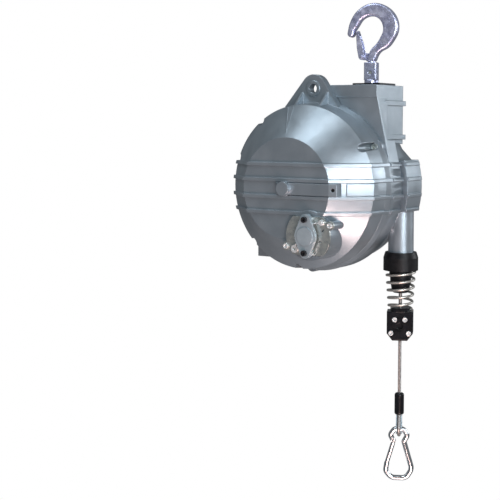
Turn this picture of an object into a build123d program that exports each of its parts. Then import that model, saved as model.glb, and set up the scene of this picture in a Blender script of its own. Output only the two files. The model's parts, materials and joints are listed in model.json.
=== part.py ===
from build123d import *
import os
from math import asin, atan2, cos, degrees, pi, radians, sin, sqrt, tan

# Spring balancer for hanging a hand tool: a cast housing with a rope drum and a power spring,
# a swivel hook above, and a steel rope with its buffer spring, clamp and snap hook below.
# Millimetres. Everything is drawn about the drum's axis, which is the line X = 0, Z = 0,
# with Y = 0 on the flat front of the housing, and moved at the end so that the origin
# is the point inside the top hook that the whole weight hangs from.

# Fits and gaps
seat_gap = 0.3
running_fit = 0.05
press_gap = 0.02

# Front cover
wall = 5.0
disc_radius = 70.0
flank_depth = 42.0
band_front_radius = 115.0
band_rear_radius = 119.5
split_y = 84.5
rim_bead = 1.6
rim_bead_depth = 4.5
rib_heights = (-33.0, -11.7, 11.7, 33.0)
rib_width = 4.8
rib_rise = 2.6
boss_radius = 10.0
boss_rise = 9.0
bar_left = -13.0
bar_right = 82.0
bar_half_height = 8.2
bar_rise = 3.5
bar_slope_start = 71.0
bar_slope_drop = 3.6
set_screw_x = 76.5
set_screw_radius = 2.6
pad_left = 88.0
pad_right = 116.0
pad_rise = 1.2

# Safety lug on the front cover
lug_hole_height = 138.0
lug_hole_radius = 6.5
lug_radius = 20.0
lug_front_y = 71.0
lug_thickness = 12.0
lug_collar_radius = 11.0
lug_collar_rise = 1.5
lug_left_foot = (-55.0, 104.0)
lug_right_foot = (42.0, 110.0)
lug_fin_places = (-18.5, 23.0)
lug_fin_width = 3.2
lug_fin_outline = ((71.0, 133.0), (71.0, 100.0), (46.0, 100.0), (48.0, 111.0))
ridge_tip = (0.0, -0.2, 69.0)
ridge_crest = (-18.0, 33.0, 112.0)
ridge_half_width = 16.0
ridge_foot_y = 52.0

# Screws round the rim, by their angle from +X
rim_screw_angles = (30.0, 127.0, 160.0, 225.0, 268.0)
rim_screw_circle = 114.0
rim_screw_radius = 3.0
rim_screw_length = 20.0
rim_head_radius = 5.0
rim_head_height = 6.0
rim_boss_radius = 9.5
rim_seat_y = 77.0
rim_boss_rear_y = 103.0
socket_share = 0.55

# Rear case
case_radius = 121.0
case_band_end = 112.0
case_step_radius = 116.0
case_rear_radius = 113.5
case_rear_edge_y = 152.0
case_back_radius = 101.0
case_back_y = 165.0
back_hub_radius = 24.0
back_hub_rise = 4.0

# Tower over the case, which carries the hook
tower_left = 12.0
tower_right = 95.6
tower_top = 143.0
tower_back_y = 164.4
tower_shoulder = 125.0
tower_band_height = 17.0
tower_band_rise = 1.5
tower_lip_heights = (118.0, 70.0)
tower_lip_rise = 2.6
tower_lip_height = 7.0
stem_boss_radius = 14.0
stem_boss_bottom = 122.0

# Rope outlet: bulge and tube
rope_x = 104.0
rope_y = 143.6
rope_radius = 2.5
bulge_radius = 127.0
bulge_front_y = 118.0
bulge_back_y = 162.0
bulge_top = 38.0
bulge_bottom = -32.0
bulge_left = 76.0
tube_bottom = -97.0
tube_top_radius = 17.8
tube_bottom_radius = 18.4
tube_bore_radius = 12.0

# Worm gear that sets the spring, and the tube that its key goes up
worm_x = -93.3
worm_y = 98.0
worm_tube_radius = 16.5
worm_tube_bore = 11.0
worm_tube_bottom = -108.0
worm_bearing_height = 35.0
gear_module = 3.0
wheel_teeth = 57
wheel_width = 10.0
worm_thread_half_length = 15.0
worm_journal_radius = 6.0
worm_key_flats = 8.0
worm_key_depth = 10.0
thread_clearance = 0.9
worm_bush_length = 12.0
worm_bush_radius = 9.5

# Shaft, drum and bearings
shaft_radius = 10.0
shaft_end_radius = 8.0
shaft_shoulder_y = 9.0
hub_radius = 17.0
hub_front_y = 9.6
hub_back_y = 157.6
hub_bore_radius = 11.0
bearing_radius = 14.0
bearing_length = 9.0
drum_front_y = 110.5
drum_back_y = 150.0
drum_web = 5.0
drum_rim = 4.5
groove_pitch = 7.0
groove_growth = 1.0
groove_gap = 0.3
dead_turns = 1
working_turns = 3
drum_lip = 2.4
drum_clear = 1.0
drum_hole_circle = 62.0
drum_hole_radius = 19.0
drum_hole_count = 6

# Spring barrel, power spring and ratchet
barrel_radius = 94.0
barrel_wall = 3.0
barrel_front_y = 34.0
barrel_back_y = 84.0
barrel_boss_radius = 27.0
bush_wall = 3.0
band_thickness = 1.4
band_turns = 6
wheel_front_y = 93.0
wheel_web_radius = 60.0
barrel_screw_circle = 46.0
barrel_screw_radius = 3.0
barrel_screw_count = 6
ratchet_tip_radius = 60.0
ratchet_root_radius = 51.0
ratchet_teeth = 12
ratchet_front_y = 11.0
ratchet_back_y = 19.0
ratchet_phase = 5.0

# Drum lock on the front
lock_x = 40.0
lock_z = -62.5
lock_pad_radius = 34.0
lock_pad_y = -rib_rise
lock_plate_radius = 35.0
lock_plate_thickness = 3.0
lock_ear_reach = 38.0
lock_ear_radius = 6.0
lock_ear_angles = (24.0, 204.0)
lock_screw_radius = 2.0
lock_head_radius = 3.6
lock_head_height = 2.4
lock_shaft_radius = 5.0
lock_small_holes = ((19.5, -7.0), (11.0, -22.0), (24.0, 8.0))
lock_small_hole_radius = 1.6
lock_lever_thickness = 2.5
lock_lever_length = 27.0
lock_lever_width = 11.0
lock_lever_angle = -137.3
lock_lever_hole = 2.2
pawl_length = 24.0
pawl_width = 6.5
pawl_angle = -172.9
cap_half_width = 16.5
cap_ear_spacing = 45.2
cap_ear_radius = 7.5
cap_thickness = 4.5
cap_dome_rise = 1.2
cap_dome_radius = 12.5
cap_head_radius = 4.0
cap_head_height = 4.0
cap_screw_radius = 2.5
eye_x = 62.0
eye_z = -43.4
eye_radius = 3.2
eye_wire = 0.9

# Hook on top
hook_x = 63.5
hook_y = 125.0
hook_turn = 15.0
seat_height = 240.7
hook_thickness = 16.0
hook_edge = 3.5
block_width = 18.0
block_bottom = 150.8
block_top = 175.5
stem_radius = 8.0
stem_bush_radius = 10.5
shank_radius = 5.6
neck_half_width = 6.6
hook_pin_radius = 2.75
hook_pin_recess = 1.2
hook_pin_height = 161.0
plate_x = 68.0
plate_length = 44.0
plate_depth = 46.0
plate_thickness = 3.0
nut_flats = 24.0
nut_height = 11.0
washer_radius = 14.0
washer_height = 3.0
stem_tail = 4.0
latch_pivot_x = -13.5
latch_pivot_z = 184.0
latch_tip_x = -20.4
latch_tip_z = 220.0
latch_lug_radius = 4.8
latch_lug_width = 6.0
latch_pin_radius = 2.0
latch_sheet = 1.6
latch_width = 12.0

# Buffer, clamp and rope end
rope_turn = 25.0
cup_radius = 25.0
cup_top = -94.0
cup_bottom = -120.2
cup_chamfer = 2.5
nozzle_top_radius = 16.4
nozzle_tip_radius = 12.6
nozzle_bottom = -152.6
nozzle_bore = 4.0
spring_wire = 1.85
spring_top_radius = 20.4
spring_turns = 5
collar_radius = 14.2
collar_top = -174.2
clamp_top = -179.2
clamp_bottom = -221.3
clamp_width = 37.5
clamp_depth = 26.0
clamp_split = 0.4
clamp_corner = 8.0
clamp_screws = ((-7.35, -190.3), (7.35, -190.3), (-12.6, -210.0), (12.6, -210.0))
clamp_head_radius = 3.5
clamp_head_height = 2.6
clamp_screw_radius = 2.0
clamp_window_radius = 4.6
clamp_window_depth = 3.0
clamp_window_height = -200.0
sleeve_top = -299.7
sleeve_bottom = -331.8
sleeve_radius = 6.9
ferrule_radius = 5.4
ferrule_inset = 3.0

# Thimble and snap hook
thimble_inner = 6.2
thimble_wall = 1.3
thimble_width = 8.6
thimble_bottom = -358.9
hook_wire = 3.75
snap_top = -349.6
snap_length = 80.0
eye_half_width = 10.6
waist_half_width = 7.4
base_half_width = 17.8
waist_drop = 22.0
gate_wire = 3.2
gate_end_gap = 0.5
gate_tongue = 1.4
gate_pin_radius = 1.25
gate_knuckle = 3.0


def along_y(radius, front, back, x=0.0, z=0.0):
    """A round bar along Y from front to back."""
    upright = Cylinder(radius, back - front, align=(Align.CENTER, Align.CENTER, Align.MIN))
    return Pos(x, front, z) * Rot(-90, 0, 0) * upright


def along_z(radius, bottom, top, x=0.0, y=0.0):
    upright = Cylinder(radius, top - bottom, align=(Align.CENTER, Align.CENTER, Align.MIN))
    return Pos(x, y, bottom) * upright


def block(x0, x1, y0, y1, z0, z1):
    centre = Pos((x0 + x1) / 2, (y0 + y1) / 2, (z0 + z1) / 2)
    return centre * Box(x1 - x0, y1 - y0, z1 - z0)


def plate(outline, front, back):
    """A flat outline in X and Z, given a thickness from front to back along Y."""
    rear_plane = Plane(origin=(0, back, 0), x_dir=(1, 0, 0), z_dir=(0, -1, 0))
    return extrude(rear_plane * outline, amount=back - front)


def polygon(*points):
    return make_face(Polyline(*points, close=True))


def turned(*points):
    """A body turned about the Z axis from points of radius and height."""
    return revolve(Plane.XZ * polygon(*points), axis=Axis.Z)


def polar(radius, angle, x=0.0, z=0.0):
    return (x + radius * cos(radians(angle)), z + radius * sin(radians(angle)))


def hex_socket(flats, y0, y1, x=0.0, z=0.0):
    return plate(Pos(x, z) * RegularPolygon(flats / 2, 6, major_radius=False), y0, y1)


def socket_screw(x, z, seat_y, head_radius, head_height, radius, length):
    """A socket head screw that points along +Y with its head in front of seat_y."""
    head = along_y(head_radius, seat_y - head_height, seat_y, x, z)
    shank = along_y(radius, seat_y, seat_y + length, x, z)
    depth = head_height * socket_share
    flats = 2 * head_radius * socket_share
    socket = hex_socket(flats, seat_y - head_height, seat_y - head_height + depth, x, z)
    return head + shank - socket


nodes = {}


def keep(name, solid):
    nodes[name] = solid


# Front cover

# The cover's outside in radius and depth. The line is run on behind the split and past the axis,
# so that an inset leaves an open back and a wall of one thickness.
run_on = 40.0
band_slope = (band_rear_radius - band_front_radius) / (split_y - flank_depth)
cover_outline = (
    (-run_on, 0),
    (disc_radius, 0),
    (band_front_radius, flank_depth),
    (band_rear_radius, split_y),
    (band_rear_radius + run_on * band_slope, split_y + run_on),
    (-run_on, split_y + run_on),
)


def cover_body(inset):
    """The front cover as a solid, drawn in by inset, or out where it is negative."""
    half = polygon(*cover_outline)
    if inset:
        half = offset(half, amount=-inset, kind=Kind.INTERSECTION)
    reach = 2 * band_rear_radius
    window = polygon((0, -reach), (reach, -reach), (reach, split_y), (0, split_y))
    return revolve(half & window, axis=Axis.Y)


def front_ribs():
    ribbed = cover_body(-rib_rise)
    reach = 2 * band_rear_radius
    half = rib_width / 2
    return [ribbed & block(-reach, reach, -reach, split_y, z - half, z + half) for z in rib_heights]


def tangent_outline(foot_left, foot_right, apex_radius, apex_height):
    """A tongue with a round top whose straight sides run down to two feet."""
    sides = []
    for foot, side in ((foot_left, 1), (foot_right, -1)):
        dx, dz = foot[0], foot[1] - apex_height
        reach = sqrt(dx * dx + dz * dz)
        angle = degrees(atan2(dz, dx)) - side * degrees(pi / 2 - asin(apex_radius / reach))
        sides.append(polar(apex_radius, angle, 0.0, apex_height))
    top = (0.0, apex_height + apex_radius)
    edges = [
        Line(foot_left, sides[0]),
        ThreePointArc(sides[0], top, sides[1]),
        Line(sides[1], foot_right),
        Line(foot_right, (foot_right[0], 0)),
        Line((foot_right[0], 0), (foot_left[0], 0)),
        Line((foot_left[0], 0), foot_left),
    ]
    return make_face(edges)


def safety_lug():
    outline = tangent_outline(lug_left_foot, lug_right_foot, lug_radius, lug_hole_height)
    lug_back_y = lug_front_y + lug_thickness
    lug = plate(outline, lug_front_y, lug_back_y)
    lug += along_y(lug_collar_radius, lug_front_y - lug_collar_rise, lug_front_y, 0, lug_hole_height)
    for x in lug_fin_places:
        fin = Plane.YZ * polygon(*lug_fin_outline)
        lug += Pos(x, 0, 0) * extrude(fin, amount=lug_fin_width / 2, both=True)
    return lug


def faceted(points, faces):
    """A solid with flat faces, from named corners."""
    return Solid(Shell([Face(Wire.make_polygon([points[n] for n in face])) for face in faces]))


def crest_ridge():
    """The three sided ridge that runs from the lug's left foot down to the disc."""
    crest_x, crest_y, crest_z = ridge_crest
    corners = {
        "tip": Vector(*ridge_tip),
        "crest": Vector(*ridge_crest),
        "right": Vector(crest_x + ridge_half_width, ridge_foot_y, crest_z),
        "left": Vector(crest_x - ridge_half_width, ridge_foot_y, crest_z - 4),
        "root": Vector(ridge_tip[0], ridge_foot_y, 60.0),
    }
    faces = (
        ("tip", "right", "crest"),
        ("tip", "crest", "left"),
        ("crest", "right", "left"),
        ("tip", "left", "root"),
        ("tip", "root", "right"),
        ("left", "right", "root"),
    )
    return faceted(corners, faces)


def centre_bar():
    bar = block(bar_left, bar_right, -bar_rise, flank_depth / 2, -bar_half_height, bar_half_height)
    slope = Plane.XY * polygon(
        (bar_slope_start, -bar_rise),
        (bar_right + 1, -bar_rise + bar_slope_drop),
        (bar_right + 1, -bar_rise - 1),
        (bar_slope_start, -bar_rise - 1),
    )
    return bar - extrude(slope, amount=2 * bar_half_height, both=True)


def lock_pad():
    return along_y(lock_pad_radius, lock_pad_y, flank_depth + 4, lock_x, lock_z)


def rim_bosses(front, back):
    return [along_y(rim_boss_radius, front, back, *polar(rim_screw_circle, a)) for a in rim_screw_angles]


def front_cover():
    cover = cover_body(0)
    bead_front = split_y - rim_bead_depth
    cover += along_y(band_rear_radius + rim_bead, bead_front, split_y)
    for rib in front_ribs():
        cover += rib
    for boss in rim_bosses(rim_seat_y, split_y):
        cover += boss
    cover += safety_lug()
    cover += crest_ridge()
    cover += centre_bar()
    cover += lock_pad()
    cover += cover_body(-pad_rise) & block(pad_left, pad_right, 0, split_y, -bar_half_height, bar_half_height)
    cover += along_y(boss_radius, -boss_rise, 1)
    # Hollow it, keeping the seats of the shaft, the screws and the set screw
    hollow = cover_body(wall)
    hollow += along_y(lock_pad_radius - wall, wall, flank_depth + 4, lock_x, lock_z)
    for boss in rim_bosses(rim_seat_y - wall, split_y):
        hollow -= boss
    hollow -= along_y(shaft_end_radius + wall, 0, shaft_shoulder_y)
    hollow -= along_y(set_screw_radius + 2, 0, 14, set_screw_x, 0)
    cover -= hollow
    # Pockets that let the rim screws in from the front
    for a in rim_screw_angles:
        x, z = polar(rim_screw_circle, a)
        cover -= along_y(rim_head_radius + 1.2, -1, rim_seat_y, x, z)
        cover -= along_y(rim_screw_radius + 0.2, rim_seat_y - 1, split_y + 1, x, z)
    cover -= along_y(lug_hole_radius, lug_front_y - 4, split_y, 0, lug_hole_height)
    cover -= along_y(shaft_end_radius + press_gap, -1, shaft_shoulder_y + 1)
    cover -= along_y(lock_shaft_radius + running_fit, lock_pad_y - 1, flank_depth, lock_x, lock_z)
    cover -= along_y(set_screw_radius + press_gap, -bar_rise - 1, 12, set_screw_x, 0)
    for a in lock_ear_angles:
        x, z = polar(lock_ear_reach, a, lock_x, lock_z)
        cover += along_y(lock_ear_radius - 0.5, lock_pad_y, flank_depth, x, z) - cover_body(wall)
        cover -= along_y(lock_screw_radius + 0.1, lock_pad_y - 1, lock_pad_y + 9, x, z)
    for side in (-1, 1):
        z = lock_z + side * cap_ear_spacing / 2
        cover -= along_y(cap_screw_radius + 0.1, lock_pad_y - 1, lock_pad_y + 12, lock_x, z)
    return cover


# Rear case

case_outline = (
    (-run_on, split_y - run_on),
    (case_radius, split_y - run_on),
    (case_radius, case_band_end),
    (case_step_radius, case_band_end + 2.5),
    (case_rear_radius, case_rear_edge_y),
    (case_back_radius, case_back_y),
    (-run_on, case_back_y),
)


def case_body(inset):
    half = polygon(*case_outline)
    if inset:
        half = offset(half, amount=-inset, kind=Kind.INTERSECTION)
    reach = 2 * case_radius
    window = polygon((0, split_y), (reach, split_y), (reach, reach), (0, reach))
    return revolve(half & window, axis=Axis.Y)


def tower_outline():
    """The tower seen from the front, with sides that run down to touch the case's circle."""
    corner = (tower_right, tower_shoulder)
    reach = sqrt(corner[0] ** 2 + corner[1] ** 2)
    turn = degrees(atan2(corner[1], corner[0])) - degrees(pi / 2 - asin(case_radius / reach))
    touch = polar(case_radius, turn)
    return polygon(
        (tower_left, tower_top),
        (tower_right, tower_top),
        corner,
        touch,
        (0, 0),
        (tower_left - 34, sqrt(case_radius**2 - (tower_left - 34) ** 2) - 1),
        (tower_left, tower_shoulder),
    )


def tower():
    front_part = plate(tower_outline(), split_y, case_band_end)
    tall = block(tower_left, tower_right, split_y, tower_back_y, 60, tower_top)
    tall = fillet(tall.edges().filter_by(Axis.Z).group_by(Axis.Y)[-1], 4)
    band = block(
        tower_left,
        tower_right,
        split_y - tower_band_rise,
        split_y + 6,
        tower_top - tower_band_height,
        tower_top,
    )
    body = front_part + tall + band
    for z in tower_lip_heights:
        lip = block(
            tower_right - 4,
            tower_right + tower_lip_rise,
            split_y + 20,
            tower_back_y + tower_lip_rise,
            z - tower_lip_height / 2,
            z + tower_lip_height / 2,
        )
        back_lip = block(
            tower_left + 4,
            tower_right + tower_lip_rise,
            tower_back_y - 4,
            tower_back_y + tower_lip_rise,
            z - tower_lip_height / 2,
            z + tower_lip_height / 2,
        )
        body += lip + back_lip
    return body


def tower_hollow():
    inner = block(
        tower_left + wall, tower_right - wall, split_y + wall, tower_back_y - wall, 60, tower_top - wall
    )
    return inner - along_z(stem_boss_radius, stem_boss_bottom, tower_top, hook_x, hook_y)


def bulge(grow=0.0):
    top = bulge_top + grow
    outline = polygon(
        (bulge_left, bulge_bottom - grow),
        (bulge_radius + 5, bulge_bottom - grow),
        (bulge_radius + 5, top),
        (bulge_left + 34, top),
        (bulge_left + 10, top + 24),
        (bulge_left, top + 24),
    )
    round_part = along_y(bulge_radius + grow, bulge_front_y, bulge_back_y)
    return plate(outline, bulge_front_y, bulge_back_y) & round_part


def rope_tube():
    upright = (Align.CENTER, Align.CENTER, Align.MIN)
    tube = Cone(tube_bottom_radius, tube_top_radius, -tube_bottom, align=upright)
    return Pos(rope_x, rope_y, tube_bottom) * tube


def rear_ribs():
    shell = case_body(-rib_rise) + bulge(rib_rise)
    shell = shell & block(-200, 200, split_y, bulge_back_y - 4, -200, 200)
    return [shell & block(-200, 200, 0, 200, z - rib_width / 2, z + rib_width / 2) for z in rib_heights]


def groove_radius(y):
    """Radius of the rope's centre line where it lies on the drum at depth y."""
    return rope_x + (rope_y - y) * groove_growth / groove_pitch


wheel_pitch_radius = gear_module * wheel_teeth / 2
worm_pitch_radius = -worm_x - wheel_pitch_radius
addendum = gear_module * 0.9
dedendum = gear_module * 1.15
wheel_tip_radius = wheel_pitch_radius + addendum
worm_tip_radius = worm_pitch_radius + addendum
worm_root_radius = worm_pitch_radius - dedendum
wheel_back_y = wheel_front_y + wheel_width
drum_front_radius = groove_radius(drum_front_y) + drum_lip


def rear_case():
    case = case_body(0)
    case += tower()
    case += bulge()
    case += rope_tube()
    for rib in rear_ribs():
        case += rib
    for boss in rim_bosses(split_y, rim_boss_rear_y):
        case += boss
    case += along_z(worm_tube_radius, worm_tube_bottom, 40, worm_x, worm_y) & along_y(
        300, split_y + 1, case_back_y
    )
    case += along_y(back_hub_radius, case_back_y, case_back_y + back_hub_rise)
    # The chamber, left whole round the screw bosses and the worm's two bearings
    hollow = case_body(wall) + tower_hollow()
    for boss in rim_bosses(split_y, rim_boss_rear_y):
        hollow -= boss
    low = along_z(worm_tube_radius - 0.5, -200, -worm_bearing_height, worm_x, worm_y)
    high = along_z(worm_tube_radius - 0.5, worm_bearing_height, 60, worm_x, worm_y)
    hollow -= low + high
    hollow += along_y(barrel_radius + 1.5, split_y, wheel_front_y - 2)
    hollow += along_y(wheel_tip_radius + 1.2, wheel_front_y - 2, wheel_back_y + 2)
    hollow += along_y(drum_front_radius + drum_clear, drum_front_y - drum_clear, drum_front_y + 10)
    hollow += along_z(worm_tip_radius + 0.8, -worm_bearing_height, worm_bearing_height, worm_x, worm_y)
    hollow -= along_y(shaft_radius + wall, case_back_y - wall - 2, case_back_y)
    case -= hollow
    case -= along_z(tube_bore_radius, tube_bottom - 1, 12, rope_x, rope_y)
    case -= along_z(worm_tube_bore, worm_tube_bottom - 1, -worm_bearing_height, worm_x, worm_y)
    bush_top = worm_bearing_height + worm_bush_length
    case -= along_z(worm_bush_radius + press_gap, worm_bearing_height, bush_top, worm_x, worm_y)
    case -= along_z(stem_bush_radius + press_gap, stem_boss_bottom - 1, tower_top + 1, hook_x, hook_y)
    case -= along_y(shaft_radius + press_gap, case_back_y - wall - 3, case_back_y + back_hub_rise + 1)
    for a in rim_screw_angles:
        x, z = polar(rim_screw_circle, a)
        case -= along_y(rim_screw_radius + press_gap, split_y - 1, rim_seat_y + rim_screw_length + 1, x, z)
    return case


keep("front_cover", front_cover())
keep("rear_case", rear_case())


def cover_screws():
    screws = []
    for a in rim_screw_angles:
        x, z = polar(rim_screw_circle, a)
        screws.append(
            socket_screw(x, z, rim_seat_y, rim_head_radius, rim_head_height, rim_screw_radius, rim_screw_length)
        )
    return Compound(children=screws)


keep("cover_screws", cover_screws())
set_screw_front = -bar_rise + bar_slope_drop * 0.5 + 0.6
keep(
    "stop_screw",
    along_y(set_screw_radius, set_screw_front, 12, set_screw_x, 0)
    - hex_socket(set_screw_radius * 1.1, set_screw_front, set_screw_front + 3, set_screw_x, 0),
)

# Main shaft, with its nut behind the case

shaft_back_y = case_back_y + back_hub_rise
shaft_washer_height = 2.5
shaft_nut_height = 10.0
shaft = along_y(shaft_end_radius, 0.5, shaft_shoulder_y)
shaft += along_y(shaft_radius, shaft_shoulder_y, shaft_back_y - 1)
shaft += along_y(shaft_end_radius, shaft_back_y - 1, shaft_back_y + shaft_washer_height + shaft_nut_height + 3)
keep("main_shaft", shaft)
washer_back = shaft_back_y + shaft_washer_height
keep(
    "shaft_washer",
    along_y(shaft_radius + 5, shaft_back_y, washer_back) - along_y(shaft_end_radius + 0.2, 0, 300),
)
keep(
    "shaft_nut",
    hex_socket(nut_flats, washer_back, washer_back + shaft_nut_height)
    - along_y(shaft_end_radius + press_gap, 0, 300),
)

# Rope drum on its two bearings


def groove_places():
    count = dead_turns + working_turns + 1
    return [rope_y - n * groove_pitch for n in range(count)]


def ring(radius, wire, y):
    return Pos(0, y, 0) * Rot(90, 0, 0) * Torus(radius, wire)


def rope_drum():
    front_r = groove_radius(drum_front_y)
    back_r = groove_radius(drum_back_y)
    rim = polygon(
        (front_r - drum_rim, drum_front_y),
        (front_r + drum_lip, drum_front_y),
        (front_r + drum_lip, drum_front_y + 1.5),
        (groove_radius(drum_front_y + 3), drum_front_y + 3),
        (groove_radius(drum_back_y - 3), drum_back_y - 3),
        (back_r + drum_lip, drum_back_y - 1.5),
        (back_r + drum_lip, drum_back_y),
        (hub_radius, drum_back_y),
        (hub_radius, hub_back_y),
        (hub_bore_radius, hub_back_y),
        (hub_bore_radius, hub_front_y),
        (hub_radius, hub_front_y),
        (hub_radius, drum_back_y - drum_web),
        (back_r - drum_rim, drum_back_y - drum_web),
    )
    drum = revolve(rim, axis=Axis.Y)
    for y in groove_places():
        drum -= ring(groove_radius(y), rope_radius + groove_gap, y)
    for n in range(drum_hole_count):
        x, z = polar(drum_hole_circle, (n + 0.5) * 360 / drum_hole_count)
        drum -= along_y(drum_hole_radius, drum_front_y, drum_back_y + 1, x, z)
    drum -= along_y(bearing_radius, hub_front_y - 1, hub_front_y + bearing_length)
    drum -= along_y(bearing_radius, hub_back_y - bearing_length, hub_back_y + 1)
    return drum


keep("rope_drum", rope_drum())
# The groove in line with the outlet is left empty, as its turn is the one that is let out
keep("rope_turns", Compound(children=[ring(groove_radius(y), rope_radius, y) for y in groove_places()[1:]]))


def bearing(front):
    """A shielded ball bearing, with the step of its shield on both faces."""
    back = front + bearing_length
    inner, outer = shaft_radius + running_fit, bearing_radius - press_gap
    step_in, step_out = inner + 1.2, outer - 1.0
    half = polygon(
        (inner, front),
        (step_in, front),
        (step_in, front + 0.5),
        (step_out, front + 0.5),
        (step_out, front),
        (outer, front),
        (outer, back),
        (step_out, back),
        (step_out, back - 0.5),
        (step_in, back - 0.5),
        (step_in, back),
        (inner, back),
    )
    return revolve(half, axis=Axis.Y)


keep("drum_bearings", Compound(children=[bearing(hub_front_y), bearing(hub_back_y - bearing_length)]))


def ratchet_wheel():
    points = []
    step = 360 / ratchet_teeth
    for n in range(ratchet_teeth):
        start = ratchet_phase + n * step
        points.append(polar(ratchet_root_radius, start))
        points.append(polar(ratchet_tip_radius, start + 6.5))
        points.append(polar(ratchet_tip_radius, start + 9.5))
        points.append(polar(ratchet_root_radius, start + 11))
    wheel = plate(polygon(*points), ratchet_front_y, ratchet_back_y)
    for n in range(drum_hole_count):
        x, z = polar(ratchet_root_radius * 0.62, n * 360 / drum_hole_count)
        wheel -= along_y(9, ratchet_front_y - 1, ratchet_back_y + 1, x, z)
    return wheel - along_y(hub_radius + press_gap, 0, 50)


keep("ratchet_wheel", ratchet_wheel())

# Spring barrel that turns on bushes round the drum's hub

bush_radius = hub_radius + running_fit + bush_wall
barrel_inner = barrel_radius - barrel_wall
lid_thickness = 3.0


def ring_of_holes(radius, circle, count, front, back):
    return [along_y(radius, front, back, *polar(circle, (n + 0.5) * 360 / count)) for n in range(count)]


def spring_barrel():
    barrel = along_y(barrel_radius, barrel_front_y + lid_thickness, barrel_back_y)
    barrel -= along_y(barrel_inner, barrel_front_y, barrel_back_y - barrel_wall)
    barrel += along_y(barrel_boss_radius, barrel_back_y - barrel_wall - 4, barrel_back_y)
    barrel -= along_y(bush_radius + press_gap, 0, 200)
    for hole in ring_of_holes(barrel_screw_radius + 0.2, barrel_screw_circle, barrel_screw_count, 60, 120):
        barrel -= hole
    return barrel


keep("spring_barrel", spring_barrel())


def barrel_lid():
    lid = along_y(barrel_radius, barrel_front_y, barrel_front_y + lid_thickness)
    lid += along_y(barrel_inner - 0.3, barrel_front_y, barrel_front_y + lid_thickness + 2)
    lid -= along_y(barrel_inner - 3, barrel_front_y + lid_thickness, barrel_front_y + 10)
    lid += along_y(barrel_boss_radius, barrel_front_y, barrel_front_y + lid_thickness + 4)
    return lid - along_y(bush_radius + press_gap, 0, 200)


keep("barrel_lid", barrel_lid())


def bush(front, back):
    return along_y(bush_radius, front, back) - along_y(hub_radius + running_fit, front - 1, back + 1)


keep(
    "barrel_bushes",
    Compound(
        children=[
            bush(barrel_front_y, barrel_front_y + lid_thickness + 4),
            bush(barrel_back_y - barrel_wall - 4, barrel_back_y),
        ]
    ),
)


def power_spring():
    """A flat band wound in half turns about two centres, from the hub out to the barrel's wall."""
    first = hub_radius + seat_gap + band_thickness / 2
    last = barrel_inner - seat_gap - band_thickness / 2
    pitch = (last - first) / band_turns
    halves = []
    reach = 2 * barrel_radius
    upper = polygon((-reach, 0), (reach, 0), (reach, reach), (-reach, reach))
    lower = polygon((-reach, 0), (reach, 0), (reach, -reach), (-reach, -reach))
    for n in range(band_turns + 1):
        radius = first + n * pitch
        band = Circle(radius + band_thickness / 2) - Circle(radius - band_thickness / 2)
        halves.append(band & upper)
        if n < band_turns:
            radius += pitch / 2
            band = Circle(radius + band_thickness / 2) - Circle(radius - band_thickness / 2)
            halves.append(Pos(pitch / 2, 0) * band & lower)
    outline = halves[0]
    for half in halves[1:]:
        outline += half
    return plate(outline, barrel_front_y + lid_thickness + 5, barrel_back_y - barrel_wall - 5)


keep("power_spring", power_spring())

# Worm wheel on the barrel, and the worm that turns it


def worm_wheel():
    """Straight teeth with room for the worm's thread, cut on a disc that the barrel carries."""
    step = 360 / wheel_teeth
    pitch = pi * gear_module
    half_gap = degrees((pitch / 4 + thread_clearance) / wheel_pitch_radius)
    flare = degrees(addendum * tan(radians(20)) / wheel_pitch_radius)
    points = []
    for n in range(wheel_teeth):
        # A gap is centred on 180 degrees, where the worm's thread lies at rest
        middle = 180 + n * step
        points.append(polar(wheel_pitch_radius - dedendum, middle - half_gap + flare))
        points.append(polar(wheel_pitch_radius - dedendum, middle + half_gap - flare))
        points.append(polar(wheel_tip_radius, middle + half_gap + flare))
        points.append(polar(wheel_tip_radius, middle + step - half_gap - flare))
    wheel = plate(polygon(*points), wheel_front_y, wheel_back_y)
    wheel += along_y(wheel_web_radius, barrel_back_y, wheel_back_y)
    wheel -= along_y(bush_radius + 6, 0, 200)
    for hole in ring_of_holes(barrel_screw_radius + press_gap, barrel_screw_circle, barrel_screw_count, 60, 120):
        wheel -= hole
    return wheel


keep("worm_wheel", worm_wheel())


def barrel_screws():
    shanks = ring_of_holes(
        barrel_screw_radius, barrel_screw_circle, barrel_screw_count, barrel_back_y - barrel_wall, wheel_back_y
    )
    heads = ring_of_holes(
        barrel_screw_radius + 2, barrel_screw_circle, barrel_screw_count, wheel_back_y, wheel_back_y + 3
    )
    return Compound(children=[shank + head for shank, head in zip(shanks, heads)])


keep("barrel_screws", barrel_screws())


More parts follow.
